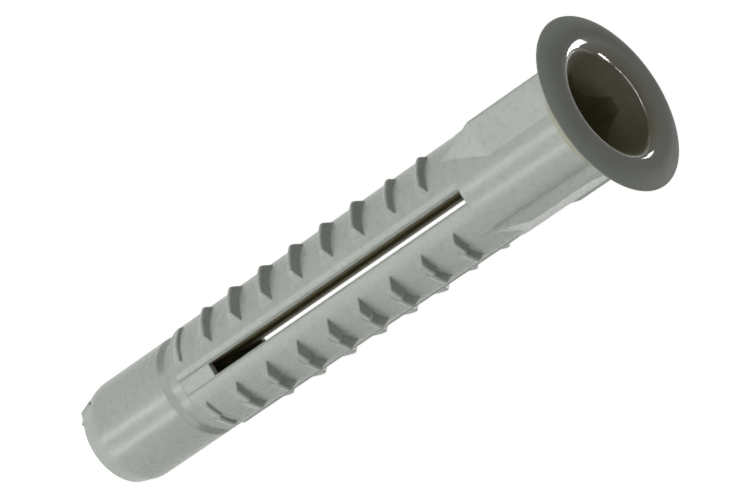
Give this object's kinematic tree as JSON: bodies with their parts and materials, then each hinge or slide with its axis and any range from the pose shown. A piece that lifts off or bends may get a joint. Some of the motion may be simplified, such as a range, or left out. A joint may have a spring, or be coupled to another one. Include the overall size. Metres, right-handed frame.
{
  "type": "wall plug",
  "caption": "Moulded plastic wall plug with a domed collar, anti-turn wings on the neck, a slotted ribbed expansion zone and a smooth nose sleeve.",
  "frame": {"origin": "centre of the flat nose end, on the surface that the plug stands on", "axes": "+Z along the plug's axis from the nose end to the mouth; the four slots face -Y, +X, +Y and -X"},
  "size_m": [0.0158, 0.0158, 0.06],
  "materials": {
    "plug_plastic": "satin moulded, pale grey with a faint green cast"
  },
  "bodies": {
    "root": {"wall_plug": "plug_plastic"}
  },
  "joints": []
}
